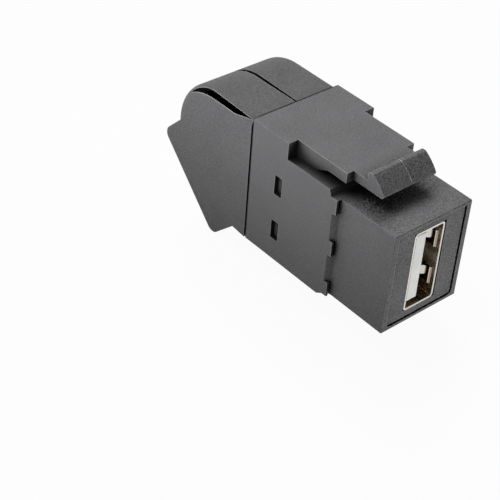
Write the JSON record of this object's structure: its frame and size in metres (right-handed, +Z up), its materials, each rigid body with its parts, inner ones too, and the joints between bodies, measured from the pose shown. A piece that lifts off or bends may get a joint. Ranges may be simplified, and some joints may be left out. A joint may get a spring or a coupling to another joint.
{
  "type": "usb keystone coupler",
  "caption": "Black keystone coupler with a USB-A receptacle in its front face, a flexing latch on top, and a split rear hood whose own receptacle faces down and back.",
  "frame": {"origin": "centre of the front section in the plane of the front receptacle's mouth, the point that comes through the middle of the panel's keystone opening", "axes": "+X right seen from the front, +Y from the front face towards the hood, +Z up, the side of the latch"},
  "size_m": [0.016, 0.0473, 0.0256],
  "materials": {
    "housing_plastic": "fine sparked texture, matte black",
    "hood_plastic": "fine sparked texture, matte black",
    "shell_nickel": "bright nickel plating on folded sheet",
    "insulator_white": "smooth off-white moulding",
    "contact_gold": "gold-plated strip",
    "board_green": "green solder mask",
    "solder_tin": "bright tin solder"
  },
  "bodies": {
    "root": {"keystone_housing": "housing_plastic", "front_insert": "housing_plastic", "hood_left": "hood_plastic", "hood_right": "hood_plastic", "front_shell": "shell_nickel", "rear_shell": "shell_nickel", "front_insulator": "insulator_white", "rear_insulator": "insulator_white", "front_contact_1": "contact_gold", "front_contact_2": "contact_gold", "front_contact_3": "contact_gold", "front_contact_4": "contact_gold", "rear_contact_1": "contact_gold", "rear_contact_2": "contact_gold", "rear_contact_3": "contact_gold", "rear_contact_4": "contact_gold", "circuit_board": "board_green", "front_solder": "solder_tin", "rear_solder": "solder_tin"}
  },
  "joints": []
}
